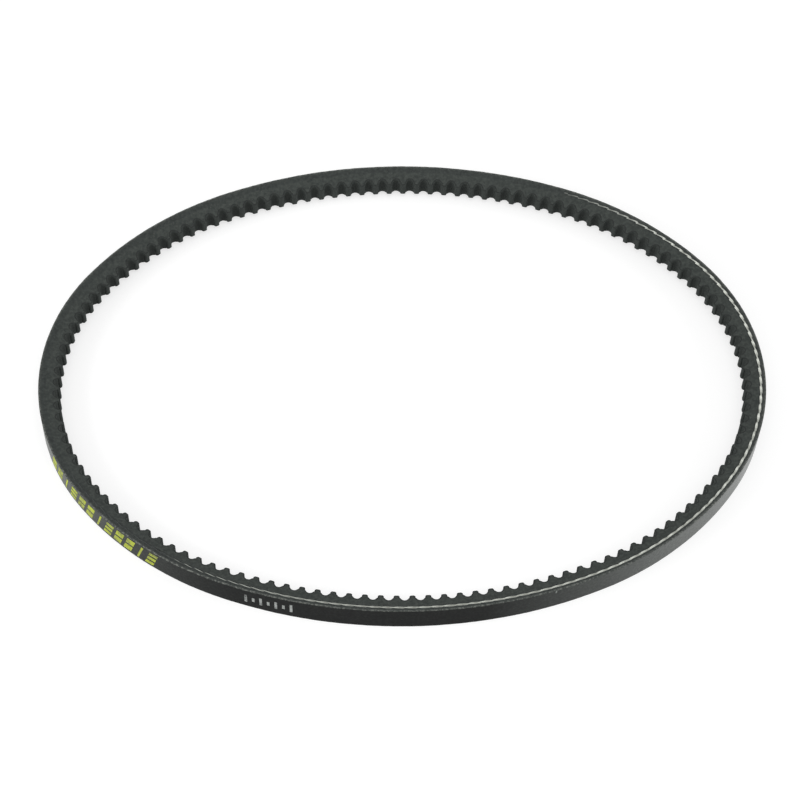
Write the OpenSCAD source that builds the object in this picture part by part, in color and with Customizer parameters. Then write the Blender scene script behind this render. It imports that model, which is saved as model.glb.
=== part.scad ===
// Raw-edge cogged V-belt, lying on its side as a relaxed oval loop.
// +Z is the axis of the loop, +X runs along the oval's long axis, and the origin is the middle of the loop.
// Depths are measured inwards from the back, the wide outer face of the belt.

/* [Loop] */
// Bend radius of the cord line at the two ends of the oval
end_r = 77; // [68:1:95]
// How much wider the four shoulders bend than the ends
shoulder_step = 36; // [20:1:45]
// How much wider the two long sides bend than the shoulders
side_step = 52; // [13:1:78]

/* [Section] */
// Width across the back
top_w = 10; // [8.5:0.1:13]
// Height from the back to the tips of the cogs
belt_h = 7.4; // [6.8:0.1:9]
// Angle between the two flanks
v_angle = 38; // [32:1:42]

/* [Plies] */
// Thickness of the fabric on the back
fabric_t = 0.5; // [0.3:0.05:0.8]
// Thickness of the tension rubber under the fabric
overcord_t = 0.4; // [0.3:0.05:0.9]
// Thickness of the cushion gum over the cord
upper_cushion_t = 0.3; // [0.2:0.05:0.6]
// Thickness of the cushion gum that the cord is sunk in
lower_cushion_t = 1.3; // [1.2:0.05:1.6]

/* [Cord] */
// Diameter of the tensile cord
cord_d = 0.9; // [0.6:0.05:0.9]
// Width that the cord climbs in one turn
cord_lead = 1.35; // [1.35:0.05:2]
// Thickness left of the cord where a flank ends it
cord_end_t = 0.12; // [0.1:0.01:0.2]
// Gum between the cord and the upper face of its cushion
cord_cover = 0.1; // [0.05:0.05:0.15]
// Place on the loop where the cord crosses the upper flank, in degrees of the loop's length
cord_exit = 323; // [0:1:360]
// Stations along one turn of the cord
cord_steps = 60; // [48:1:90]

/* [Cogs] */
// Number of cogs
cog_count = 131; // [110:1:140]
// Depth of the notches between the cogs
cog_h = 2.25; // [1.9:0.05:2.6]
// Radius at the bottom of a notch
notch_r = 1.3; // [1.1:0.05:1.4]
// Radius on the edges of a cog's tip
tip_r = 0.8; // [0.6:0.05:0.9]
// Flat left on a cog's tip at the ends of the oval, where the cogs stand closest
tip_flat = 0.2; // [0.05:0.05:0.5]
// Thickness of the fabric facing on the cogs
facing_t = 0.45; // [0.3:0.05:0.45]

/* [Print] */
// Thickness of the printed films
film_t = 0.05; // [0.03:0.01:0.1]
// Place of the middle of the colour print, in degrees of the loop's length
print_place = 210; // [0:1:360]
// Height of the colour print across the back
print_h = 7.4; // [5:0.1:8]
// Number of figures in the colour print
print_count = 12; // [5:1:15]
// Spacing of the figures in the colour print
print_step = 4.8; // [4.5:0.1:6]
// Width of a block in the colour print
block_w = 3.4; // [2:0.1:3.8]
// Width of a slanted bar in the colour print
bar_w = 0.8; // [0.5:0.1:1.2]
// Place of the middle of the white stamp, in degrees of the loop's length
stamp_place = 245; // [0:1:360]
// Height of the white stamp across the back
stamp_h = 4.2; // [2:0.1:6]
// Spacing of the marks in the white stamp
mark_step = 2.6; // [2:0.1:3]
// Width of one mark of the white stamp
mark_w = 0.9; // [0.5:0.1:1.2]

/* [Hidden] */
$fn = 180;

// The oval is eight arcs. Neighbours meet on the line through their centres, along (4, 3) from an end to
// a shoulder and along (5, 12) from a shoulder to a side, so whole-numbered offsets make them meet exactly.
end_dir = [4, 3];
side_dir = [5, 12];
end_part = round(100 * shoulder_step / norm(end_dir)) / 100;
side_part = round(100 * side_step / norm(side_dir)) / 100;
shoulder_r = end_r + norm(end_dir) * end_part;
side_r = shoulder_r + norm(side_dir) * side_part;
shoulder_c = [side_dir.x * side_part, -end_dir.y * end_part];
side_c = [0, shoulder_c.y - side_dir.y * side_part];
end_c = [shoulder_c.x + end_dir.x * end_part, 0];
end_angle = atan2(end_dir.y, end_dir.x);
side_angle = atan2(side_dir.y, side_dir.x);

// Each arc as its centre, radius, first angle and sweep, counter-clockwise from the +X axis
ARCS = [
  [end_c, end_r, 0, end_angle],
  [shoulder_c, shoulder_r, end_angle, side_angle - end_angle],
  [side_c, side_r, side_angle, 180 - 2 * side_angle],
  [[-shoulder_c.x, shoulder_c.y], shoulder_r, 180 - side_angle, side_angle - end_angle],
  [-end_c, end_r, 180 - end_angle, 2 * end_angle],
  [-shoulder_c, shoulder_r, 180 + end_angle, side_angle - end_angle],
  [-side_c, side_r, 180 + side_angle, 180 - 2 * side_angle],
  [[shoulder_c.x, -shoulder_c.y], shoulder_r, 360 - side_angle, side_angle - end_angle],
  [end_c, end_r, 360 - end_angle, end_angle]
];
function arc_length(arc) = arc[1] * arc[3] * PI / 180;
function total(list, i = 0) = i == len(list) ? 0 : list[i] + total(list, i + 1);
loop_length = total([for (arc = ARCS) arc_length(arc)]);

// Centre, radius and angle of the arc at a distance along the cord line
function seat(s, i = 0) =
  i == len(ARCS) - 1 || s <= arc_length(ARCS[i])
    ? [ARCS[i][0], ARCS[i][1], ARCS[i][2] + s / ARCS[i][1] * 180 / PI]
    : seat(s - arc_length(ARCS[i]), i + 1);
function along(s) = seat(s - loop_length * floor(s / loop_length));

// Depths of the plies' faces
overcord_depth = fabric_t;
upper_depth = overcord_depth + overcord_t;
lower_depth = upper_depth + upper_cushion_t;
cord_depth = lower_depth + cord_cover + cord_d / 2;
under_depth = lower_depth + lower_cushion_t;
notch_depth = belt_h - cog_h;
core_depth = belt_h - facing_t;
flank = tan(v_angle / 2);
function half_width(depth) = top_w / 2 - depth * flank;

// The winding climbs from the lower flank to the upper one, and each flank cuts its last turn away
cord_r = cord_d / 2;
cord_side = half_width(cord_depth);
cord_reach = cord_side + (cord_r - cord_end_t) / cos(v_angle / 2);
cord_rings = floor(2 * cord_reach / cord_lead * cord_steps);
cord_sides = 6;
cord_start = (cord_exit / 360 - (cord_reach + cord_side) / cord_lead) * loop_length;
function cord_height(i) = i / cord_steps * cord_lead - cord_reach;
function cord_point(i, off = 0, up = 0) =
  let (a = along(cord_start + i / cord_steps * loop_length), r = a[1] + off)
  [a[0].x + r * cos(a[2]), a[0].y + r * sin(a[2]), cord_height(i) + up];
CORD_LINE = [for (i = [0 : cord_rings]) cord_point(i)];
cord_gap = min([
  for (i = [0 : cord_rings - cord_steps])
    norm(CORD_LINE[i + cord_steps] - CORD_LINE[i])
]) - cord_d;

// Corners of the cord's section at a station. A flank cuts a cap off the round, and the corners then share
// out the rest of it. With a push, the two corners on the flank run on through it along their sides.
function cord_section(i, push = 0) =
  let (
    z = cord_height(i),
    mirrored = z < 0 ? -1 : 1,
    inside = (cord_side - abs(z)) * cos(v_angle / 2),
    cap = inside < cord_r ? acos(inside / cord_r) : 0,
    step = cap > 0 ? (360 - 2 * cap) / (cord_sides - 1) : 360 / cord_sides,
    turned = [for (k = [0 : cord_sides - 1]) cap + k * step],
    round = [for (t = turned) cord_r * [sin(t), cos(t)]],
    last = cord_sides - 1,
    run = cap > 0 ? push : 0,
    cut = [
      for (k = [0 : last])
        k == 0 ? round[0] + run * (round[0] - round[1])
          : k == last ? round[last] + run * (round[last] - round[last - 1])
          : round[k]
    ],
    c = cos(v_angle / 2),
    n = sin(v_angle / 2)
  )
  [for (p = cut) [p.x * c - p.y * n, mirrored * (p.x * n + p.y * c)]];
echo("Length of the cord line", loop_length);
echo("Least gap between turns of the cord", cord_gap);

// Room that cutters reach past what they cut
over = 1;
// Length of the block inside a ply that holds two of its arcs together
block_l = 1;
// How far inside the ply's faces that block stays
block_in = 0.03;
// How far the cord's channel runs on through a flank, as a share of the side that it follows
cord_push = 0.1;
// How far a straight side runs inside the round that it meets, so that they cross
tuck = 0.02;
// How far the rounds of a cog's tip stand out of the tip's face, so that they cross it
tip_lift = 0.06;

// The sides of a notch touch the round at its bottom and the rounds of the two tips beside it
cog_pitch = loop_length / cog_count;
tip_x = (cog_pitch * (end_r + cord_depth - belt_h) / end_r - tip_flat) / 2;
tip_rise = cog_h + tip_lift - tip_r - notch_r;
cog_slope = asin((notch_r + tip_r) / norm([tip_x, tip_rise])) + atan2(tip_rise, tip_x);

// One arc of the loop, between two directions from its centre
module arc(centre, r, from, to) {
  reach = ceil(2 * (r + top_w) / norm(from));
  translate(centre)
    intersection() {
      rotate_extrude()
        translate([r, 0])
          children();
      linear_extrude(2 * top_w, center = true)
        polygon([[0, 0], reach * from, reach * (from + to), reach * to]);
    }
}

// A section swept round the whole loop
module loop() {
  for (x = [1, -1]) {
    arc(x * end_c, end_r, [x * end_dir.x, -end_dir.y], [x * end_dir.x, end_dir.y])
      children();
    for (y = [1, -1])
      arc([x * shoulder_c.x, y * shoulder_c.y], shoulder_r,
        [x * end_dir.x, y * end_dir.y], [x * side_dir.x, y * side_dir.y])
        children();
  }
  for (y = [1, -1])
    arc(y * side_c, side_r, [side_dir.x, y * side_dir.y], [-side_dir.x, y * side_dir.y])
      children();
}

// Places on the cord line where two arcs of the loop meet, each turned to face outwards
module meetings() {
  for (x = [1, -1], y = [1, -1]) {
    translate([x * (end_c.x + end_r * cos(end_angle)), y * end_r * sin(end_angle), 0])
      rotate(atan2(y * end_dir.y, x * end_dir.x))
        children();
    translate([x * side_r * cos(side_angle), y * (side_c.y + side_r * sin(side_angle)), 0])
      rotate(atan2(y * side_dir.y, x * side_dir.x))
        children();
  }
}

// A ply between two depths, cut to the slope of the flanks. Where two arcs meet, a block just inside the
// ply's faces holds them together.
module ply(from, to, wider = 0) {
  module section(inset = 0) {
    high = cord_depth - from - inset;
    low = cord_depth - to + inset;
    outer = half_width(from + inset) + wider - inset;
    inner = half_width(to - inset) + wider - inset;
    polygon([[high, -outer], [high, outer], [low, inner], [low, -inner]]);
  }
  loop()
    section();
  meetings()
    rotate([90, 0, 0])
      linear_extrude(block_l, center = true)
        section(block_in);
}

// The cord's tube. With a push, it opens the flank where the cord shows.
module winding(push = 0) {
  points = [
    for (i = [0 : cord_rings])
      for (p = cord_section(i, push))
        cord_point(i, p.x, p.y)
  ];
  last = cord_rings * cord_sides;
  // Sections on the upper half are mirrored ones, so their corners are counted back from the far side
  half = cord_sides / 2;
  function corner(i, k) =
    i * cord_sides + (cord_height(i) < 0 ? k : (cord_sides + half - k) % cord_sides);
  faces = [
    [for (k = [cord_sides - 1 : -1 : 0]) corner(0, k)],
    for (i = [0 : cord_rings - 1], k = [0 : cord_sides - 1])
      let (
        a = corner(i, k),
        b = corner(i, (k + 1) % cord_sides),
        c = corner(i + 1, k),
        d = corner(i + 1, (k + 1) % cord_sides)
      )
      each [[a, b, c], [b, d, c]],
    [for (k = [0 : cord_sides - 1]) corner(cord_rings, k)]
  ];
  polyhedron(points, faces);
}

// Outline of one notch, open towards the tips. Grown, it is the notch in the rubber under the facing.
module notch(grow = 0) {
  normal = [sin(cog_slope), -cos(cog_slope)];
  tip_c = [tip_x, notch_r + tip_rise];
  foot = [0, notch_r] + (notch_r + grow - tuck) * normal;
  head = tip_c - (tip_r - grow - tuck) * normal;
  edge = [foot, head, tip_c, [tip_c.x, cog_h + over]];
  difference() {
    union() {
      translate([0, notch_r])
        circle(notch_r + grow);
      polygon([
        for (p = edge) p,
        for (i = [len(edge) - 1 : -1 : 0]) [-edge[i].x, edge[i].y]
      ]);
    }
    for (x = [1, -1])
      translate([x * tip_c.x, tip_c.y])
        circle(tip_r - grow);
  }
}

// All the notches, as cutters through the belt's width
module notches(grow = 0) {
  for (i = [0 : cog_count - 1]) {
    a = along((i + 0.5) * cog_pitch);
    translate([a[0].x, a[0].y, 0])
      rotate(a[2])
        translate([a[1] + cord_depth - notch_depth, 0, 0])
          rotate(90)
            linear_extrude(2 * top_w, center = true)
              notch(grow);
  }
}

// A flat mark on the back, at a distance along the loop from a place given in degrees
module on_back(place, distance) {
  stretch = (end_r + cord_depth) / end_r;
  a = along(place / 360 * loop_length + distance / stretch);
  translate([a[0].x, a[0].y, 0])
    rotate(a[2])
      translate([a[1], 0, 0])
        rotate([90, 0, 90])
          linear_extrude(cord_depth + over)
            children();
}

// A film on the back, cut to the marks that are its children
module film() {
  intersection() {
    loop()
      translate([cord_depth, -top_w / 2])
        square([film_t, top_w]);
    union()
      children();
  }
}

module back_fabric() {
  color("#2c2e2e")
    ply(0, overcord_depth);
}

module overcord() {
  color("#434745")
    ply(overcord_depth, upper_depth);
}

module upper_cushion() {
  color("#3a3d3c")
    ply(upper_depth, lower_depth);
}

module tensile_cord() {
  color("#bdbcae")
    winding();
}

module lower_cushion() {
  color("#343736")
    difference() {
      ply(lower_depth, under_depth);
      winding(cord_push);
    }
}

module undercord() {
  color("#454a48")
    difference() {
      ply(under_depth, core_depth);
      notches(facing_t);
    }
}

module cog_facing() {
  color("#262828")
    difference() {
      ply(notch_depth - facing_t - tuck, belt_h);
      difference() {
        ply(under_depth, core_depth, over);
        notches(facing_t);
      }
      notches();
    }
}

// A slanted figure between two heights on the back
print_lean = 0.35;
module slanted(w, low, high) {
  polygon([
    [low * print_lean - w / 2, low], [low * print_lean + w / 2, low],
    [high * print_lean + w / 2, high], [high * print_lean - w / 2, high]
  ]);
}

// Two tall blocks, a slanted bar and three low blocks, over and over
row_gap = 1;
module rows(count) {
  row_h = (print_h - (count - 1) * row_gap) / count;
  for (k = [0 : count - 1])
    slanted(block_w, k * (row_h + row_gap) - print_h / 2, k * (row_h + row_gap) + row_h - print_h / 2);
}
module colour_print() {
  color("#b4c43c")
    film()
      for (i = [0 : print_count - 1])
        on_back(print_place, (i - (print_count - 1) / 2) * print_step)
          if (i % 4 == 2)
            slanted(bar_w, -print_h / 2, print_h / 2);
          else
            rows(i % 4 == 3 ? 3 : 2);
}

// Upright marks, every second one short
mark_count = 7;
module white_stamp() {
  color("#c8cbc8")
    film()
      for (i = [0 : mark_count - 1])
        on_back(stamp_place, (i - (mark_count - 1) / 2) * mark_step)
          square([mark_w, i % 2 == 0 ? stamp_h : stamp_h / 2], center = true);
}

back_fabric();
overcord();
upper_cushion();
tensile_cord();
lower_cushion();
undercord();
cog_facing();
colour_print();
white_stamp();
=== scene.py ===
import math

import bpy
import numpy as np
from mathutils import Matrix, Vector


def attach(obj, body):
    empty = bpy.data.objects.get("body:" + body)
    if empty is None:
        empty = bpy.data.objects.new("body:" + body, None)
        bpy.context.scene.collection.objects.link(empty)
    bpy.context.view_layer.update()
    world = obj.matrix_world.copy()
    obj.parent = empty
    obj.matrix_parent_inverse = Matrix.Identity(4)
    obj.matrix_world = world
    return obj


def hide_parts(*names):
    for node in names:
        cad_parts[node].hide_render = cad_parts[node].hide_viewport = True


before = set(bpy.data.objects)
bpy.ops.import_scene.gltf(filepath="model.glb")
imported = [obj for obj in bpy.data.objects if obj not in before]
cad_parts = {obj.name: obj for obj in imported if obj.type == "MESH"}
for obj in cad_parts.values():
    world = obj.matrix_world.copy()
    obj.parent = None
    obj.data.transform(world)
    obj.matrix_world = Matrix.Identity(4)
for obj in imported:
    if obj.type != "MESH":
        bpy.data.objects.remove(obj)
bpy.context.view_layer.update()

# Sizes of the belt in millimetres, as in the part's source
MM = 0.001
END_R = 77.0
SHOULDER_R = 113.0
SIDE_R = 165.0
END_C = np.array([48.8, 0.0])
SHOULDER_C = np.array([20.0, -21.6])
SIDE_C = np.array([0.0, -69.6])
END_ANGLE = math.atan2(3, 4)
SIDE_ANGLE = math.atan2(12, 5)
TOP_W = 10.0
BELT_H = 7.4
FLANK_ANGLE = math.radians(19)
FLANK = math.tan(FLANK_ANGLE)
OVERCORD_DEPTH = 0.5
UPPER_DEPTH = 0.9
LOWER_DEPTH = 1.2
CORD_DEPTH = 1.75
UNDER_DEPTH = 2.5
CORD_R = 0.45
CORD_LEAD = 1.35
CORD_END_T = 0.12
CORD_EXIT = 323 / 360
COG_COUNT = 131
COG_H = 2.25
NOTCH_R = 1.3
TIP_R = 0.8
TIP_FLAT = 0.2
TIP_LIFT = 0.06
FACING_T = 0.45
NOTCH_DEPTH = BELT_H - COG_H

# The oval is a closed row of arcs: centre, radius, first angle and sweep, from the +X axis round
MIRROR_X = np.array([-1, 1])
ARCS = [
    (END_C, END_R, 0, END_ANGLE),
    (SHOULDER_C, SHOULDER_R, END_ANGLE, SIDE_ANGLE - END_ANGLE),
    (SIDE_C, SIDE_R, SIDE_ANGLE, math.pi - 2 * SIDE_ANGLE),
    (SHOULDER_C * MIRROR_X, SHOULDER_R, math.pi - SIDE_ANGLE, SIDE_ANGLE - END_ANGLE),
    (-END_C, END_R, math.pi - END_ANGLE, 2 * END_ANGLE),
    (-SHOULDER_C, SHOULDER_R, math.pi + END_ANGLE, SIDE_ANGLE - END_ANGLE),
    (-SIDE_C, SIDE_R, math.pi + SIDE_ANGLE, math.pi - 2 * SIDE_ANGLE),
    (-SHOULDER_C * MIRROR_X, SHOULDER_R, 2 * math.pi - SIDE_ANGLE, SIDE_ANGLE - END_ANGLE),
    (END_C, END_R, 2 * math.pi - END_ANGLE, END_ANGLE),
]
ARC_C = np.array([arc[0] for arc in ARCS])
ARC_R = np.array([arc[1] for arc in ARCS])
ARC_A = np.array([arc[2] for arc in ARCS])
ARC_S = np.concatenate([[0], np.cumsum([arc[1] * arc[3] for arc in ARCS])])
LOOP = ARC_S[-1]


def seat(s):
    """Centre, radius and angle of the arc at distances along the cord line."""
    s = np.asarray(s, float) % LOOP
    i = np.clip(np.searchsorted(ARC_S, s, side="right") - 1, 0, len(ARCS) - 1)
    return ARC_C[i], ARC_R[i], ARC_A[i] + (s - ARC_S[i]) / ARC_R[i]


def half_width(depth):
    """Half of the section's width at a depth under the back."""
    return TOP_W / 2 - depth * FLANK


def place(s, depth, z):
    """Points at distances along the cord line, depths under the back and heights, in metres."""
    c, r, a = seat(s)
    reach = r + CORD_DEPTH - depth
    x = c[..., 0] + reach * np.cos(a)
    y = c[..., 1] + reach * np.sin(a)
    return np.stack([x, y, np.broadcast_to(z, x.shape)], -1) * MM


def waves(s, seed, periods, rough):
    """A smooth irregular curve round the loop, with a spread of about 1, that closes on itself."""
    draw = np.random.RandomState(seed)
    total = np.zeros_like(s)
    size = 0.0
    for k in periods:
        strength = draw.uniform(0.5, 1) * (periods[0] / k) ** (1 - rough)
        total += strength * np.sin(2 * np.pi * (k * s / LOOP + draw.uniform()))
        size += strength ** 2 / 2
    return total / math.sqrt(size)


# Faces that meet at more than this angle, in degrees, keep a sharp edge
SHARP_ANGLE = 35
CORD_SHARP_ANGLE = 70


def add_piece(name, co, faces, uv, sharp_angle=SHARP_ANGLE):
    """A mesh piece of the belt. uv has one row for each corner of each face."""
    mesh = bpy.data.meshes.new(name)
    mesh.from_pydata(co.reshape(-1, 3).tolist(), [], list(faces))
    layer = mesh.uv_layers.new(name="run")
    layer.data.foreach_set("uv", np.asarray(uv, np.float32).ravel())
    mesh.validate()
    mesh.shade_smooth()
    mesh.set_sharp_from_angle(angle=math.radians(sharp_angle))
    piece = bpy.data.objects.new(name, mesh)
    bpy.context.scene.collection.objects.link(piece)
    return piece


def ring_grid(rows, cols):
    """Quads of a grid that closes on itself both ways: rows along the loop, cols round the section."""
    i = np.arange(rows)[:, None]
    j = np.arange(cols)[None, :]
    i2 = (i + 1) % rows
    j2 = (j + 1) % cols
    quads = np.stack([i * cols + j, i2 * cols + j, i2 * cols + j2, i * cols + j2], -1)
    return quads.reshape(-1, 4).tolist()


def ring_uv(run, across):
    """Corner coordinates for ring_grid, from the distance of each row and the place of each corner."""
    rows, cols = across.shape
    u0 = np.broadcast_to(run[:, None], (rows, cols))
    u1 = np.broadcast_to(np.append(run[1:], run[0] + LOOP)[:, None], (rows, cols))
    v00 = across
    v10 = np.roll(across, -1, 0)
    v11 = np.roll(v10, -1, 1)
    v01 = np.roll(across, -1, 1)
    corners = [np.stack(p, -1) for p in ((u0, v00), (u1, v10), (u1, v11), (u0, v01))]
    return np.stack(corners, 2).reshape(-1, 2)


def sweep(name, s, depth, z):
    """A ring with a closed section of depths and heights, one row of the section for each distance s."""
    depth, z = np.broadcast_arrays(depth, z)
    rows, cols = z.shape
    co = place(np.broadcast_to(s[:, None], z.shape), depth, z)
    return add_piece(name, co, ring_grid(rows, cols), ring_uv(s, z))


# Camera at the photograph's viewing angle, from a fit of the oval's outline and cogs
IMAGE_PX = 800
SENSOR_MM = 36.0
ELEVATION = math.radians(53.279)
TURN = math.radians(-4.511)
ROLL = math.radians(-2.362)
DISTANCE = 0.7311
FOCAL_PX = 2070.3
ORIGIN_PX = (403.63, 379.60)


def add_camera():
    """A camera at the fitted distance that sees the frame's origin at its place in the image."""
    right = Vector((math.cos(TURN), math.sin(TURN), 0))
    ahead = Vector((-math.sin(TURN), math.cos(TURN), 0))
    up = math.sin(ELEVATION) * ahead + Vector((0, 0, math.cos(ELEVATION)))
    back = -math.cos(ELEVATION) * ahead + Vector((0, 0, math.sin(ELEVATION)))
    x = math.cos(ROLL) * right - math.sin(ROLL) * up
    y = math.sin(ROLL) * right + math.cos(ROLL) * up
    centre = IMAGE_PX / 2
    back_c = (FOCAL_PX * back + (ORIGIN_PX[0] - centre) * x + (centre - ORIGIN_PX[1]) * y).normalized()
    x = (x - x.dot(back_c) * back_c).normalized()
    y = back_c.cross(x)
    camera = bpy.data.objects.new("camera", bpy.data.cameras.new("camera"))
    camera.data.sensor_width = SENSOR_MM
    camera.data.lens = FOCAL_PX * SENSOR_MM / IMAGE_PX
    turn = Matrix((x, y, back_c)).transposed().to_4x4()
    camera.matrix_world = Matrix.Translation(back * DISTANCE) @ turn
    bpy.context.scene.collection.objects.link(camera)
    bpy.context.scene.camera = camera


add_camera()

# A mix node's sockets for colours, by number, because their names repeat for each kind of data
MIX_FACTOR = 0
MIX_A = 6
MIX_B = 7
MIX_RESULT = 2


class Shader:
    """A material under construction, with short names for the nodes that the belt's materials use."""

    def __init__(self, name):
        self.material = bpy.data.materials.new(name)
        self.material.use_nodes = True
        self.tree = self.material.node_tree
        self.bsdf = self.tree.nodes["Principled BSDF"]
        self.coords = self.tree.nodes.new("ShaderNodeTexCoord")

    def node(self, kind, inputs=(), **settings):
        made = self.tree.nodes.new(kind)
        for key, value in settings.items():
            setattr(made, key, value)
        for key, value in dict(inputs).items():
            self.feed(made.inputs[key], value)
        return made

    def feed(self, socket, value):
        if isinstance(value, bpy.types.NodeSocket):
            self.tree.links.new(value, socket)
        else:
            socket.default_value = value

    def noise(self, scale, detail, rough, vector=None):
        inputs = {"Scale": scale, "Detail": detail, "Roughness": rough}
        inputs["Vector"] = vector or self.coords.outputs["Object"]
        return self.node("ShaderNodeTexNoise", inputs).outputs["Fac"]

    def ramp(self, value, low, high, to_low=0.0, to_high=1.0):
        inputs = {"Value": value, "From Min": low, "From Max": high, "To Min": to_low, "To Max": to_high}
        return self.node("ShaderNodeMapRange", inputs).outputs["Result"]

    def math(self, operation, a, b=0.0):
        made = self.node("ShaderNodeMath", operation=operation)
        self.feed(made.inputs[0], a)
        self.feed(made.inputs[1], b)
        return made.outputs[0]

    def mix(self, factor, a, b):
        made = self.node("ShaderNodeMix", data_type="RGBA")
        self.feed(made.inputs[MIX_FACTOR], factor)
        self.feed(made.inputs[MIX_A], a)
        self.feed(made.inputs[MIX_B], b)
        return made.outputs[MIX_RESULT]

    def stretched(self, scale):
        inputs = {"Vector": self.coords.outputs["UV"], "Scale": scale}
        return self.node("ShaderNodeMapping", inputs).outputs["Vector"]

    def axis(self, name):
        return self.node("ShaderNodeSeparateXYZ", {"Vector": self.coords.outputs["UV"]}).outputs[name]

    def bump(self, height, distance, strength):
        inputs = {"Height": height, "Distance": distance, "Strength": strength}
        self.feed(self.bsdf.inputs["Normal"], self.node("ShaderNodeBump", inputs).outputs["Normal"])

    def set(self, **values):
        for key, value in values.items():
            self.feed(self.bsdf.inputs[key.replace("_", " ")], value)

    def shine(self, level):
        self.bsdf.inputs["Specular IOR Level"].default_value = level


def rgb(red, green, blue):
    """A colour written as 0 to 255, as the shader takes it."""
    def linear(v):
        v /= 255
        return v / 12.92 if v <= 0.04045 else ((v + 0.055) / 1.055) ** 2.4
    return (linear(red), linear(green), linear(blue), 1)


def weave(shader, pitch):
    """A plain weave of threads at a pitch in millimetres, from 0 in the gaps to 1 on the threads."""
    turns = 2 * math.pi / pitch
    along = shader.math("SINE", shader.math("MULTIPLY", shader.axis("X"), turns))
    across = shader.math("SINE", shader.math("MULTIPLY", shader.axis("Y"), turns))
    return shader.ramp(shader.math("MULTIPLY", along, across), -1, 1)


# In the materials, a noise is its waves in a metre, its octaves and its roughness. A relief is a bump's
# depth in metres and its strength. A range is what a noise's values are stretched from. Rough and shine
# are the shader's roughness and its specular level.
PER_M = 1000.0
SPREAD = (0.3, 0.7)

# The back: its places are distances along the loop and heights across it
# The near part of the back, between these places, is rougher and painted near-black: painted shade
DULL_SHADE_IN = (178 / 360 * LOOP, 238 / 360 * LOOP)
DULL_SHADE_OUT = (313 / 360 * LOOP, 281 / 360 * LOOP)
NICK_AT = 293.6 / 360 * LOOP
NICK_W = 0.3
NICK_END = 3.0
NICK_FADE = 0.6
FRAY_AT = 232 / 360 * LOOP
FRAY_NEAR = (0.9, 1)
FRAY_SHARE = (0.7, 1)
RIM_AT = (4.62, 4.8)
RIM_RAGGED = 0.16
BACK_MOTTLE = (0.12 * PER_M, 4, 0.6)
BACK_GRAIN = (2.2 * PER_M, 4, 0.6)
BACK_SPECKS = (1.1 * PER_M, 3, 0.6)
BACK_SPECK_RANGE = (0.4, 0.7)
BACK_SPECK_SHARE = 0.6
RIM_FLECKS = (1.2 * PER_M, 5, 0.7)
RIM_FLECK_RANGE = (0.46, 0.6)
PAINTED_SHADE_DARK = rgb(8, 9, 9)
PAINTED_SHADE_PALE = rgb(12, 13, 13)
PAINTED_SHADE_SPECK = rgb(34, 37, 35)
SKIN_DARK = rgb(64, 68, 66)
SKIN_PALE = rgb(73, 77, 74)
SKIN_SPECK = rgb(98, 103, 99)
NICK_COLOUR = rgb(140, 146, 142)
RIM_DARK = rgb(62, 65, 63)
RIM_PALE = rgb(118, 121, 116)
SKIN_ROUGH = (0.22, 0.28)
BUFFED_ROUGH = 0.4
BACK_THREADS = 0.9
BACK_THREAD_SHARE = 0.5
BACK_RELIEF = (0.00003, 0.5)
BACK_SHINE = 0.14


def back_material():
    """Rubberised fabric with a satin skin, rougher in one part and painted near-black there as painted
    shade, and rims like the flanks.
    """
    m = Shader("back_fabric")
    run = m.axis("X")
    across = m.axis("Y")
    mottle = m.noise(*BACK_MOTTLE)
    grain = m.noise(*BACK_GRAIN)

    # Painted shade: the near part of the back gets near-black colours, and a higher roughness
    dull_and_shaded = m.math("MULTIPLY", m.ramp(run, *DULL_SHADE_IN), m.ramp(run, *DULL_SHADE_OUT))
    black = m.mix(m.ramp(mottle, *SPREAD), PAINTED_SHADE_DARK, PAINTED_SHADE_PALE)
    skin = m.mix(m.ramp(mottle, *SPREAD), SKIN_DARK, SKIN_PALE)
    body = m.mix(dull_and_shaded, skin, black)
    specks = m.ramp(m.noise(*BACK_SPECKS), *BACK_SPECK_RANGE, 0, BACK_SPECK_SHARE)
    body = m.mix(specks, body, m.mix(dull_and_shaded, SKIN_SPECK, PAINTED_SHADE_SPECK))

    nick = m.ramp(m.math("ABSOLUTE", m.math("SUBTRACT", run, NICK_AT)), NICK_W, NICK_W / 2)
    nick = m.math("MULTIPLY", nick, m.ramp(across, NICK_END, NICK_END + NICK_FADE))
    body = m.mix(nick, body, NICK_COLOUR)

    rim = m.math("ABSOLUTE", across)
    flecks = m.ramp(m.noise(*RIM_FLECKS), *RIM_FLECK_RANGE)
    turn = m.math("MULTIPLY", m.math("SUBTRACT", run, FRAY_AT), 2 * math.pi / LOOP)
    frayed = m.ramp(m.math("COSINE", turn), *FRAY_NEAR, *FRAY_SHARE)
    cut = m.mix(m.math("MULTIPLY", flecks, frayed), RIM_DARK, RIM_PALE)
    ragged = m.math("ADD", rim, m.math("MULTIPLY", flecks, RIM_RAGGED))
    m.set(Base_Color=m.mix(m.ramp(ragged, *RIM_AT), body, cut))
    satin = m.ramp(mottle, *SPREAD, *SKIN_ROUGH)
    m.set(Roughness=m.math("ADD", satin, m.math("MULTIPLY", dull_and_shaded, BUFFED_ROUGH)))
    threads = m.math("MULTIPLY", weave(m, BACK_THREADS), BACK_THREAD_SHARE)
    m.bump(m.math("ADD", threads, grain), *BACK_RELIEF)
    m.shine(BACK_SHINE)
    return m.material


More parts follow.
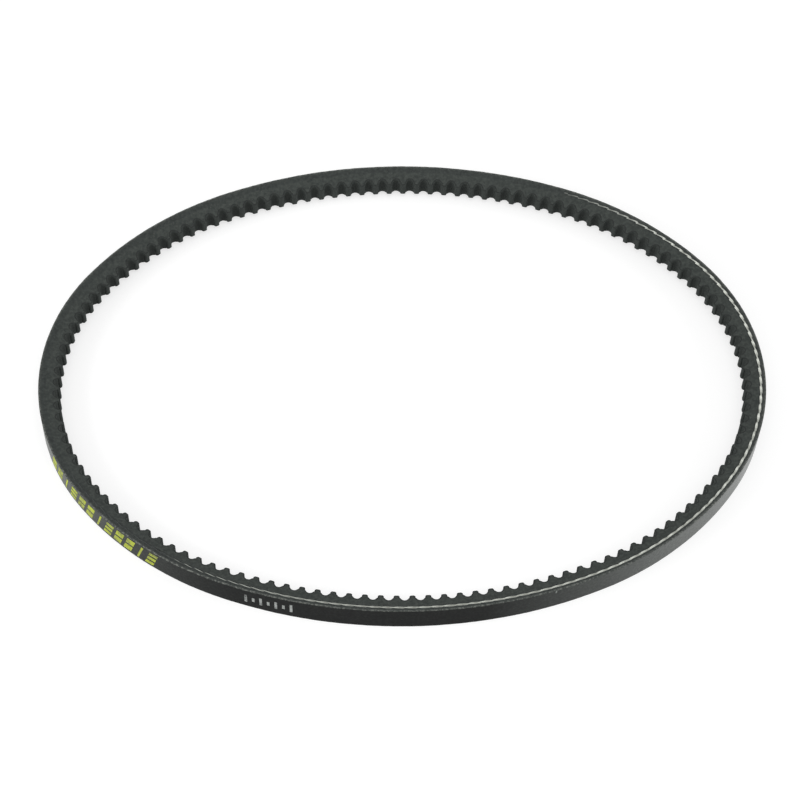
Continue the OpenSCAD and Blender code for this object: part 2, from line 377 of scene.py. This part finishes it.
# Cut rubber on the flanks
CUT_CLOUD = (0.15 * PER_M, 4, 0.6)
CUT_SPECKS = (0.9 * PER_M, 3, 0.55)
CUT_SPECK_RANGE = (0.38, 0.68)
CUT_GRAIN = (3.0 * PER_M, 4, 0.65)
GRIND_LINES = (1.0, 2, 0.5)
GRIND_STRETCH = (0.2, 14.0, 1.0)
GRIND_SHARE = 0.6
FIBRE_ENDS = (2.4 * PER_M, 2, 0.5)
FIBRE_END_RANGE = (0.68, 0.74)
FIBRE_END_SHARE = 0.35
FIBRE_END = rgb(120, 123, 118)
TENSION_BASE = rgb(57, 61, 59)
TENSION_PALE = rgb(68, 72, 69)
TENSION_DARK = rgb(50, 53, 52)
GUM_BASE = rgb(54, 58, 56)
GUM_PALE = rgb(63, 67, 65)
GUM_DARK = rgb(47, 50, 49)
RUBBER_BASE = rgb(57, 61, 59)
RUBBER_PALE = rgb(68, 72, 69)
RUBBER_DARK = rgb(50, 54, 52)
CUT_ROUGH = (0.72, 0.92)
CUT_RELIEF = (0.00004, 0.6)
CUT_SHINE = 0.15


def cut_material(name, base, pale, dark):
    """Cut rubber: clouded, grained, with fine grinding lines along the run and a few short fibre ends."""
    m = Shader(name)
    cloud = m.noise(*CUT_CLOUD)
    specks = m.noise(*CUT_SPECKS)
    grain = m.noise(*CUT_GRAIN)
    lines = m.noise(*GRIND_LINES, m.stretched(GRIND_STRETCH))
    body = m.mix(m.ramp(cloud, *SPREAD), dark, base)
    body = m.mix(m.ramp(specks, *CUT_SPECK_RANGE), body, pale)
    ends = m.ramp(m.noise(*FIBRE_ENDS), *FIBRE_END_RANGE)
    m.set(Base_Color=m.mix(m.math("MULTIPLY", ends, FIBRE_END_SHARE), body, FIBRE_END))
    m.set(Roughness=m.ramp(grain, *SPREAD, *CUT_ROUGH))
    m.bump(m.math("ADD", grain, m.math("MULTIPLY", lines, GRIND_SHARE)), *CUT_RELIEF)
    m.shine(CUT_SHINE)
    return m.material


# The cord's winding reaches from one flank to the other
CORD_SIDE = half_width(CORD_DEPTH)
CORD_REACH = CORD_SIDE + (CORD_R - CORD_END_T) / math.cos(FLANK_ANGLE)
CORD_START = (CORD_EXIT - (CORD_REACH + CORD_SIDE) / CORD_LEAD) * LOOP
CORD_LENGTH = 2 * CORD_REACH / CORD_LEAD * LOOP

# Distances from the cord's ends: where it comes out of the gum, where the gum's film on it thins out,
# and its soiled last piece. Each comes with how clear of gum it leaves the cord.
EMERGES = (370, 362)
EMERGES_CLEAR = (0, 0.52)
FILM = (345, 190)
FILM_CLEAR = (0, 0.48)
SOILED = (0, 50)
SOILED_CLEAR = (0.15, 1)

# How bare the cord is: 0 under the gum, 1 where the flank cuts the side of a strand, 2 at its middle
CUT_SIDE = 1
CUT_MIDDLE = 2
# Painted shade on the sides of each strand's lens: this share of the darker colour, fading to none at its
# middle
SIDE_SHADE_SHARE = 0.6
BARE_RANGE = (0.3, 0.8)
BARE_FUZZ_RANGE = (0.25, 0.75)
BARE_FUZZ = (-0.3, 0.3)
FIBRES = (1.0, 3, 0.6)
FIBRE_STRETCH = (0.9, 5.0, 1.0)
FUZZ = (3.5 * PER_M, 3, 0.6)
FUZZ_CLEAR = (0.85, 1)
GRIME = (0.06 * PER_M, 3, 0.6)
GRIME_RANGE = (0.45, 0.7)
GRIME_SHARE = 0.3
CORD_DARK = rgb(205, 208, 199)
CORD_PALE = rgb(244, 247, 238)
CORD_SIDE_SHADE = rgb(112, 114, 106)
CORD_GRIME = rgb(120, 120, 110)
CORD_ROUGH = (0.75, 0.9)
CORD_RELIEF = (0.00003, 0.7)


def cord_material():
    """Twisted polyester. X is the distance along the cord and Y is how bare it is."""
    m = Shader("tensile_cord")
    run = m.axis("X")
    fibres = m.noise(*FIBRES, m.stretched(FIBRE_STRETCH))
    fuzz = m.noise(*FUZZ)
    grime = m.noise(*GRIME)
    body = m.mix(m.ramp(fibres, *SPREAD), CORD_DARK, CORD_PALE)
    # Painted shade: each strand's lens darkens towards its sides
    body = m.mix(m.ramp(m.axis("Y"), CUT_SIDE, CUT_MIDDLE, SIDE_SHADE_SHARE, 0), body, CORD_SIDE_SHADE)
    body = m.mix(m.ramp(grime, *GRIME_RANGE, 0, GRIME_SHARE), body, CORD_GRIME)
    from_end = m.math("MINIMUM", run, m.math("SUBTRACT", CORD_LENGTH, run))
    emerged = m.ramp(from_end, *EMERGES, *EMERGES_CLEAR)
    clear = m.math("ADD", emerged, m.ramp(from_end, *FILM, *FILM_CLEAR))
    clear = m.math("MULTIPLY", clear, m.ramp(from_end, *SOILED, *SOILED_CLEAR))
    clear = m.math("MULTIPLY", clear, m.ramp(fuzz, *SPREAD, *FUZZ_CLEAR))
    body = m.mix(clear, GUM_BASE, body)
    bare = m.math("ADD", m.axis("Y"), m.ramp(fuzz, *BARE_FUZZ_RANGE, *BARE_FUZZ))
    m.set(Base_Color=m.mix(m.ramp(bare, *BARE_RANGE), GUM_BASE, body))
    m.set(Roughness=m.ramp(fibres, *SPREAD, *CORD_ROUGH))
    m.bump(fibres, *CORD_RELIEF)
    return m.material


# The cloth on the cogs
CLOTH_CLOUD = (0.2 * PER_M, 4, 0.6)
CLOTH_GRAIN = (1.6 * PER_M, 4, 0.6)
CLOTH_GRAIN_RANGE = (0.45, 0.8)
CLOTH_GRAIN_SHARE = 0.4
CLOTH_DARK = rgb(50, 54, 52)
CLOTH_PALE = rgb(59, 63, 61)
CLOTH_GRAINS = rgb(84, 88, 85)
CLOTH_ROUGH = (0.7, 0.85)
CLOTH_THREADS = 0.55
CLOTH_RELIEF = (0.00003, 0.5)
CLOTH_SHINE = 0.15


def facing_material():
    """Rubberised cloth moulded on the cogs."""
    m = Shader("cog_fabric")
    cloud = m.noise(*CLOTH_CLOUD)
    grain = m.noise(*CLOTH_GRAIN)
    body = m.mix(m.ramp(cloud, *SPREAD), CLOTH_DARK, CLOTH_PALE)
    grains = m.ramp(grain, *CLOTH_GRAIN_RANGE, 0, CLOTH_GRAIN_SHARE)
    m.set(Base_Color=m.mix(grains, body, CLOTH_GRAINS))
    m.set(Roughness=m.ramp(cloud, *SPREAD, *CLOTH_ROUGH))
    m.bump(m.math("ADD", weave(m, CLOTH_THREADS), grain), *CLOTH_RELIEF)
    m.shine(CLOTH_SHINE)
    return m.material


CLOTH_EDGE_FUZZ = (3.0 * PER_M, 4, 0.65)
CLOTH_EDGE_RANGE = (0.35, 0.75)
CLOTH_EDGE_DARK = rgb(42, 45, 44)
CLOTH_EDGE_PALE = rgb(58, 61, 59)
CLOTH_EDGE_ROUGH = (0.8, 0.95)
CLOTH_EDGE_RELIEF = (0.00005, 0.7)
CLOTH_EDGE_SHINE = 0.1


def facing_edge_material():
    """The cloth's cut edge on the flanks."""
    m = Shader("cog_fabric_edge")
    fuzz = m.noise(*CLOTH_EDGE_FUZZ)
    m.set(Base_Color=m.mix(m.ramp(fuzz, *CLOTH_EDGE_RANGE), CLOTH_EDGE_DARK, CLOTH_EDGE_PALE))
    m.set(Roughness=m.ramp(fuzz, *SPREAD, *CLOTH_EDGE_ROUGH))
    m.bump(fuzz, *CLOTH_EDGE_RELIEF)
    m.shine(CLOTH_EDGE_SHINE)
    return m.material


# Inks: colour, faded colour and what shows where the ink is rubbed through. Less wear rubs more through.
PRINT_COLOUR = rgb(186, 198, 52)
PRINT_FADED = rgb(150, 158, 84)
PRINT_GROUND = rgb(42, 45, 38)
PRINT_WEAR = 0.84
STAMP_COLOUR = rgb(176, 180, 177)
STAMP_FADED = rgb(140, 143, 141)
STAMP_GROUND = rgb(48, 50, 49)
STAMP_WEAR = 0.82
INK_FINE = (2.0 * PER_M, 5, 0.7)
INK_BROAD = (0.2 * PER_M, 3, 0.6)
INK_FADE_RANGE = (0.35, 0.65)
INK_BROAD_SHARE = 0.6
INK_WEAR_SOFT = 0.16
INK_ROUGH = (0.5, 0.7)
INK_RELIEF = (0.00002, 0.5)
INK_SHINE = 0.25


def ink_material(name, ink, faded, ground, wear):
    """A thin print that is rubbed through to the back in places."""
    m = Shader(name)
    fine = m.noise(*INK_FINE)
    broad = m.noise(*INK_BROAD)
    body = m.mix(m.ramp(broad, *INK_FADE_RANGE), ink, faded)
    rubbed = m.math("ADD", fine, m.math("MULTIPLY", broad, INK_BROAD_SHARE))
    worn = m.ramp(rubbed, wear, wear + INK_WEAR_SOFT)
    m.set(Base_Color=m.mix(worn, body, ground))
    m.set(Roughness=m.ramp(fine, *SPREAD, *INK_ROUGH))
    m.bump(fine, *INK_RELIEF)
    m.shine(INK_SHINE)
    return m.material


BACK = back_material()
TENSION = cut_material("tension_rubber", TENSION_BASE, TENSION_PALE, TENSION_DARK)
GUM = cut_material("cushion_gum", GUM_BASE, GUM_PALE, GUM_DARK)
RUBBER = cut_material("cog_rubber", RUBBER_BASE, RUBBER_PALE, RUBBER_DARK)
CORD = cord_material()
FACING = facing_material()
FACING_EDGE = facing_edge_material()
PRINT = ink_material("print_ink", PRINT_COLOUR, PRINT_FADED, PRINT_GROUND, PRINT_WEAR)
STAMP = ink_material("stamp_ink", STAMP_COLOUR, STAMP_FADED, STAMP_GROUND, STAMP_WEAR)


def dress(piece, material, slot, *nodes):
    """Gives a piece its material and the belt's one body, and hides the nodes that it stands for."""
    piece.data.materials.append(material)
    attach(piece, "root")
    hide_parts(*nodes)
    return piece


# Plies: rings swept along the loop
RUN_STEPS = 1440
RUN = np.linspace(0, LOOP, RUN_STEPS, endpoint=False)

# The back's edges: their radius and how it varies round the loop, and the face's slight ripple
UPPER_EDGE_SEED = 1
LOWER_EDGE_SEED = 2
EDGE_R = 0.24
EDGE_R_SPREAD = 0.05
EDGE_R_MIN = 0.12
EDGE_R_MAX = 0.38
EDGE_PERIODS = [7, 19, 43, 91, 160, 233]
EDGE_UNEVEN = 0.8
EDGE_POINTS = 6
RIPPLE_SEED = 3
RIPPLE_H = 0.012
RIPPLE_PERIODS = [5, 11, 23, 37]
RIPPLE_UNEVEN = 0.9
FACE_LINES = 13


def add_back():
    """The fabric on the back, with edges that wear has rounded unevenly."""
    rounds = np.linspace(0, math.pi / 2, EDGE_POINTS)
    rows = len(RUN)
    sides = []
    for seed, side in ((UPPER_EDGE_SEED, 1), (LOWER_EDGE_SEED, -1)):
        r = EDGE_R + EDGE_R_SPREAD * waves(RUN, seed, EDGE_PERIODS, EDGE_UNEVEN)
        r = np.clip(r, EDGE_R_MIN, EDGE_R_MAX)[:, None]
        depth = np.concatenate([np.full((rows, 1), OVERCORD_DEPTH), r * (1 - np.sin(rounds))], 1)
        inset = np.concatenate([np.zeros((rows, 1)), r * (1 - np.cos(rounds))], 1)
        sides.append((depth, side * (half_width(depth) - inset)))
    lanes = np.linspace(1, -1, FACE_LINES)[1:-1]
    rim = sides[0][1][:, -1:]
    face_z = lanes[None, :] * rim
    ripple = RIPPLE_H * waves(RUN, RIPPLE_SEED, RIPPLE_PERIODS, RIPPLE_UNEVEN)[:, None]
    ripple = ripple * (1 - lanes[None, :] ** 2)
    depth = np.concatenate([sides[0][0], ripple, sides[1][0][:, ::-1]], 1)
    z = np.concatenate([sides[0][1], face_z, sides[1][1][:, ::-1]], 1)
    return sweep("back_cover", RUN, depth, z)


def add_ply(name, top, bottom):
    """A plain ply between two depths under the back."""
    depth = np.array([bottom, top, top, bottom])
    z = half_width(depth) * np.array([1, 1, -1, -1])
    rows = np.ones((len(RUN), 1))
    return sweep(name, RUN, rows * depth, rows * z)


dress(add_back(), BACK, "back_fabric", "back_fabric")
dress(add_ply("tension_band", OVERCORD_DEPTH, UPPER_DEPTH), TENSION, "tension_rubber", "overcord")
dress(add_ply("gum_over_cord", UPPER_DEPTH, LOWER_DEPTH), GUM, "cushion_gum", "upper_cushion")

# The tensile cord: three strands twisted together and wound from the lower flank to the upper one
STRANDS = 3
STRAND_R = 0.22
STRAND_OUT = 0.245
STRAND_SIDES = 10
AROUND = np.linspace(0, 2 * math.pi, STRAND_SIDES, endpoint=False)
LAY = LOOP / 57

# Steps along the cord: fine where its line lies less than some radii under a flank, coarse elsewhere
FINE_STEP = 0.65
COARSE_STEP = 2.4
FINE_FROM = 1.4

# How far the cord stands out where a flank cuts it, and how softly that begins
PROUD = 0.05
PROUD_SOFT = 0.12
# A strand is cut right away once its middle would stand out by this many of its radii
CUT_AWAY = 1.2
# The lane in the gum beside the bare cord: its depth, how many times deeper a strand lies that is cut
# away, the share of the cord's radius over which the lane sinks, and the radii to its outer edges
LANE_SINK = 0.1
UNDER_LANE = 1.6
LANE_SHARE = 0.25
LANE_EDGE = 1.1

# Gum left on the cord: how thick it is at distances from the cord's ends, and how softly it ends
COVER_AT = [318, 342, 390]
COVER = [-0.1, 0.055, 0.11]
BARE_SOFT = 0.1


def cord_height(run):
    """Height of the cord's line at distances along the cord."""
    return run / LOOP * CORD_LEAD - CORD_REACH


def bared(height):
    """How deep the lane is for a cord at a height, from 0 where the cord only touches the flank to 1."""
    out = np.abs(height) + CORD_R / math.cos(FLANK_ANGLE) - CORD_SIDE
    return np.clip(out / (LANE_SHARE * CORD_R), 0, 1)


def strand_rows(run, k):
    """Points of one strand, as offsets outwards and upwards from the cord's line, and how bare each is."""
    height = cord_height(run)[:, None]
    side = np.where(height < 0, -1, 1)

    def out_of_flank(off, up):
        return (side * (height + up) - CORD_SIDE - off * FLANK) * math.cos(FLANK_ANGLE)

    twist = -2 * math.pi * (run[:, None] / LAY + k / STRANDS)
    mid_off = STRAND_OUT * np.cos(twist)
    mid_up = STRAND_OUT * np.sin(twist)
    off = mid_off + STRAND_R * np.cos(AROUND + twist)
    up = mid_up + STRAND_R * np.sin(AROUND + twist)
    out = out_of_flank(off, up)
    # What stands out of a flank is planed down to it, and a strand that is cut right away sinks under it
    keep = np.clip(CUT_AWAY - out_of_flank(mid_off, mid_up) / STRAND_R, 0, 1)
    level = PROUD * keep * (1 - np.exp(-np.maximum(out, 0) / PROUD_SOFT))
    level = level - UNDER_LANE * LANE_SINK * (1 - keep)
    move = np.where(out > level, level - out, 0)
    # The flank shows each strand as a lens, whose sides the cord's material darkens with painted shade, but
    # the cord is even again where the gum on it is thick
    from_end = np.minimum(run, CORD_LENGTH - run)
    cover = np.interp(from_end, COVER_AT, COVER)[:, None]
    bare = np.clip(0.5 + (out - cover) / BARE_SOFT, 0, 1)
    lens = 0.5 + 0.5 * np.cos(STRANDS * (twist - side * math.pi / 2))
    even = np.interp(from_end, COVER_AT[:2], [0, 1])[:, None]
    bare = bare * (1 + np.maximum(lens, even))
    return off - move * math.sin(FLANK_ANGLE), up + side * move * math.cos(FLANK_ANGLE), bare


def add_cord():
    """The whole winding as three closed tubes."""
    near = (CORD_REACH - CORD_SIDE + FINE_FROM * CORD_R / math.cos(FLANK_ANGLE)) / CORD_LEAD * LOOP
    run = np.concatenate([
        np.arange(0, near, FINE_STEP),
        np.arange(near, CORD_LENGTH - near, COARSE_STEP),
        np.linspace(CORD_LENGTH - near, CORD_LENGTH, int(near / FINE_STEP)),
    ])
    rows = len(run)
    c, r, a = seat(CORD_START + run)
    i = np.arange(rows - 1)[:, None]
    j = np.arange(STRAND_SIDES)[None, :]
    ring = STRAND_SIDES * i
    ring2 = ring + STRAND_SIDES
    j2 = (j + 1) % STRAND_SIDES
    tube = np.stack([ring + j, ring + j2, ring2 + j2, ring2 + j], -1).reshape(-1, 4)
    first_end = np.arange(STRAND_SIDES)[::-1]
    last_end = np.arange(STRAND_SIDES) + (rows - 1) * STRAND_SIDES
    co = []
    faces = []
    uv = []
    caps = []
    cap_uv = []
    for k in range(STRANDS):
        off, up, bare = strand_rows(run, k)
        reach = r[:, None] + off
        x = c[:, :1] + reach * np.cos(a)[:, None]
        y = c[:, 1:] + reach * np.sin(a)[:, None]
        first = k * rows * STRAND_SIDES
        co.append(np.stack([x, y, cord_height(run)[:, None] + up], -1).reshape(-1, 3) * MM)
        faces.append(tube + first)
        point_uv = np.stack([np.broadcast_to(run[:, None], bare.shape), bare], -1).reshape(-1, 2)
        uv.append(point_uv[tube].reshape(-1, 2))
        for end in (first_end, last_end):
            caps.append((end + first).tolist())
            cap_uv.append(point_uv[end])
    quads = np.concatenate(faces).tolist()
    corners = np.concatenate(uv + cap_uv)
    return add_piece("cord_winding", np.concatenate(co), quads + caps, corners, CORD_SHARP_ANGLE)


dress(add_cord(), CORD, "tensile_cord", "tensile_cord")


def add_lower_gum():
    """The gum under the cord, with a lane in each flank where the cord comes to the surface."""
    first = RUN - CORD_START % LOOP
    low = bared(cord_height(first % LOOP))
    last = CORD_LENGTH - (CORD_START + CORD_LENGTH - RUN) % LOOP
    high = bared(cord_height(last))
    lane = np.array([LOWER_DEPTH, CORD_DEPTH - LANE_EDGE * CORD_R, CORD_DEPTH - CORD_R, CORD_DEPTH,
                     CORD_DEPTH + CORD_R, CORD_DEPTH + LANE_EDGE * CORD_R, UNDER_DEPTH])
    sunk = np.array([0, 0, 1, 1, 1, 0, 0])
    top = half_width(lane) - LANE_SINK * high[:, None] * sunk
    bottom = -half_width(lane) + LANE_SINK * low[:, None] * sunk
    depth = np.broadcast_to(lane, top.shape)
    return sweep("gum_under_cord", RUN, np.concatenate([depth[:, ::-1], depth], 1),
                 np.concatenate([top[:, ::-1], bottom], 1))


dress(add_lower_gum(), GUM, "cushion_gum", "lower_cushion")

# Cogs: straight sides that join the round of a notch to the round of a tip
PITCH = LOOP / COG_COUNT
TIP_X = (PITCH * (END_R + CORD_DEPTH - BELT_H) / END_R - TIP_FLAT) / 2
TIP_RISE = COG_H + TIP_LIFT - TIP_R - NOTCH_R
SLOPE = math.asin((NOTCH_R + TIP_R) / math.hypot(TIP_X, TIP_RISE)) + math.atan2(TIP_RISE, TIP_X)
NOTCH_POINTS = 8
TIP_POINTS = 7
COG_LINES = 4
FACING_LINES = 2


def notch_side(grow):
    """Right half of a notch's outline, from its bottom to the end of the tip's round."""
    bottom = np.linspace(0, SLOPE, NOTCH_POINTS)
    r = NOTCH_R + grow
    points = [(r * math.sin(t), NOTCH_R - r * math.cos(t)) for t in bottom]
    r = TIP_R - grow
    end = math.asin((r - TIP_LIFT) / r)
    round_off = np.linspace(SLOPE - math.pi / 2, end, TIP_POINTS)
    points += [(TIP_X - r * math.cos(t), NOTCH_R + TIP_RISE + r * math.sin(t)) for t in round_off]
    return np.array(points)


def cog_line(grow):
    """The cogs' outline round the loop, grown into the rubber: distances along the loop and depths."""
    right = notch_side(grow)
    outline = np.concatenate([right[::-1] * [-1, 1], right[1:]])
    s = (np.arange(COG_COUNT) + 0.5) * PITCH
    c, r, a = seat(s)
    base = r + CORD_DEPTH - NOTCH_DEPTH
    reach = base[:, None] - outline[None, :, 1]
    x = c[:, :1] + reach * np.cos(a)[:, None] - outline[None, :, 0] * np.sin(a)[:, None]
    y = c[:, 1:] + reach * np.sin(a)[:, None] + outline[None, :, 0] * np.cos(a)[:, None]
    dx = x - c[:, :1]
    dy = y - c[:, 1:]
    from_c = np.hypot(dx, dy)
    depth = CORD_DEPTH - (from_c - r[:, None])
    turn = np.arctan2(dy, dx) - a[:, None]
    turn = (turn + math.pi) % (2 * math.pi) - math.pi
    run = s[:, None] + r[:, None] * turn
    return run.ravel(), depth.ravel()


def cog_rows(tops, bottoms, lines):
    """Section rows between two depths along the cogs: down one flank, over the face, up the other."""
    share = np.linspace(0, 1, lines)[None, :]
    depth = tops[:, None] * (1 - share) + bottoms[:, None] * share
    z = half_width(depth)
    return np.concatenate([depth, depth[:, ::-1]], 1), np.concatenate([z, -z[:, ::-1]], 1)


def add_cogs():
    """The rubber of the cogs, under their cloth."""
    run, face = cog_line(FACING_T)
    depth, z = cog_rows(np.full_like(face, UNDER_DEPTH), face, COG_LINES)
    return sweep("cogged_body", run, depth, z)


def add_facing():
    """The cloth on the cogs, with a quad on each flank and one on each face in every step."""
    inner_run, inner = cog_line(FACING_T)
    run, outer = cog_line(0)
    depth, z = cog_rows(inner, outer, FACING_LINES)
    runs = np.stack([inner_run, run, run, inner_run], 1)
    co = place(runs, depth, z)
    side = np.broadcast_to(np.array([1, 1, -1, -1]), z.shape)
    return add_piece("cog_cloth", co, ring_grid(*z.shape), ring_uv(run, side))


dress(add_cogs(), RUBBER, "cog_rubber", "undercord")
facing = dress(add_facing(), FACING, "cog_fabric", "cog_facing")
facing.data.materials.append(FACING_EDGE)
FACING_SIDES = 2 * FACING_LINES
FLANK_QUADS = (0, 2)
for polygon in facing.data.polygons:
    polygon.material_index = 1 if polygon.index % FACING_SIDES in FLANK_QUADS else 0

# Prints keep their solids and get worn ink
for node, material in (("colour_print", PRINT), ("white_stamp", STAMP)):
    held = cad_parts[node].data.materials
    if held:
        held[0] = material
    else:
        held.append(material)

# Floor, world and lamps
WHITE = (1, 1, 1, 1)
FLOOR_Z = -TOP_W / 2 * MM
FLOOR_HALF = 4.0
FLOOR_COLOUR = (0.45, 0.45, 0.45, 1)
FLOOR_ROUGH = 0.9
FLOOR_SHINE = 0.0
FLOOR_GLOW = 0.64
SKY = 0.5
SKY_SEEN = 1.0


def seen(tree):
    """1 for the rays on which the background shows white: from the camera, a reflection or a clear body."""
    path = tree.nodes.new("ShaderNodeLightPath")
    total = path.outputs["Is Camera Ray"]
    for name in ("Is Glossy Ray", "Is Transmission Ray"):
        either = tree.nodes.new("ShaderNodeMath")
        either.operation = "MAXIMUM"
        tree.links.new(total, either.inputs[0])
        tree.links.new(path.outputs[name], either.inputs[1])
        total = either.outputs[0]
    return total


def add_floor():
    mesh = bpy.data.meshes.new("floor")
    signs = ((-1, -1), (1, -1), (1, 1), (-1, 1))
    corners = [(x * FLOOR_HALF, y * FLOOR_HALF, FLOOR_Z) for x, y in signs]
    mesh.from_pydata(corners, [], [(0, 1, 2, 3)])
    floor = bpy.data.objects.new("floor", mesh)
    bpy.context.scene.collection.objects.link(floor)
    m = Shader("floor")
    m.set(Base_Color=FLOOR_COLOUR, Roughness=FLOOR_ROUGH, Emission_Color=WHITE)
    m.shine(FLOOR_SHINE)
    m.set(Emission_Strength=m.math("MULTIPLY", seen(m.tree), FLOOR_GLOW))
    mesh.materials.append(m.material)


def add_world():
    world = bpy.data.worlds.new("world")
    bpy.context.scene.world = world
    world.use_nodes = True
    tree = world.node_tree
    background = tree.nodes["Background"]
    level = tree.nodes.new("ShaderNodeMapRange")
    level.inputs["To Min"].default_value = SKY
    level.inputs["To Max"].default_value = SKY_SEEN
    tree.links.new(seen(tree), level.inputs["Value"])
    tree.links.new(level.outputs["Result"], background.inputs["Strength"])
    background.inputs["Color"].default_value = WHITE


def add_softbox(name, at, to, size, power):
    """A rectangular lamp at a place, aimed at another. Places and sizes are in metres, power in watts."""
    lamp = bpy.data.lights.new(name, "AREA")
    lamp.shape = "RECTANGLE"
    lamp.size, lamp.size_y = size
    lamp.energy = power
    holder = bpy.data.objects.new(name, lamp)
    holder.location = at
    holder.rotation_euler = (Vector(to) - Vector(at)).to_track_quat("-Z", "Y").to_euler()
    bpy.context.scene.collection.objects.link(holder)


add_floor()
add_world()
add_softbox("over", at=(0.0, -0.7, 1.3), to=(0, 0, 0), size=(1.4, 1.4), power=5.5)
add_softbox("left", at=(-0.9, -0.3, 0.4), to=(-0.05, -0.05, 0), size=(0.7, 0.5), power=6)
add_softbox("right", at=(1.0, -0.15, 0.3), to=(0.05, -0.05, 0), size=(0.7, 0.4), power=5.5)

bpy.context.scene.view_settings.view_transform = "Standard"
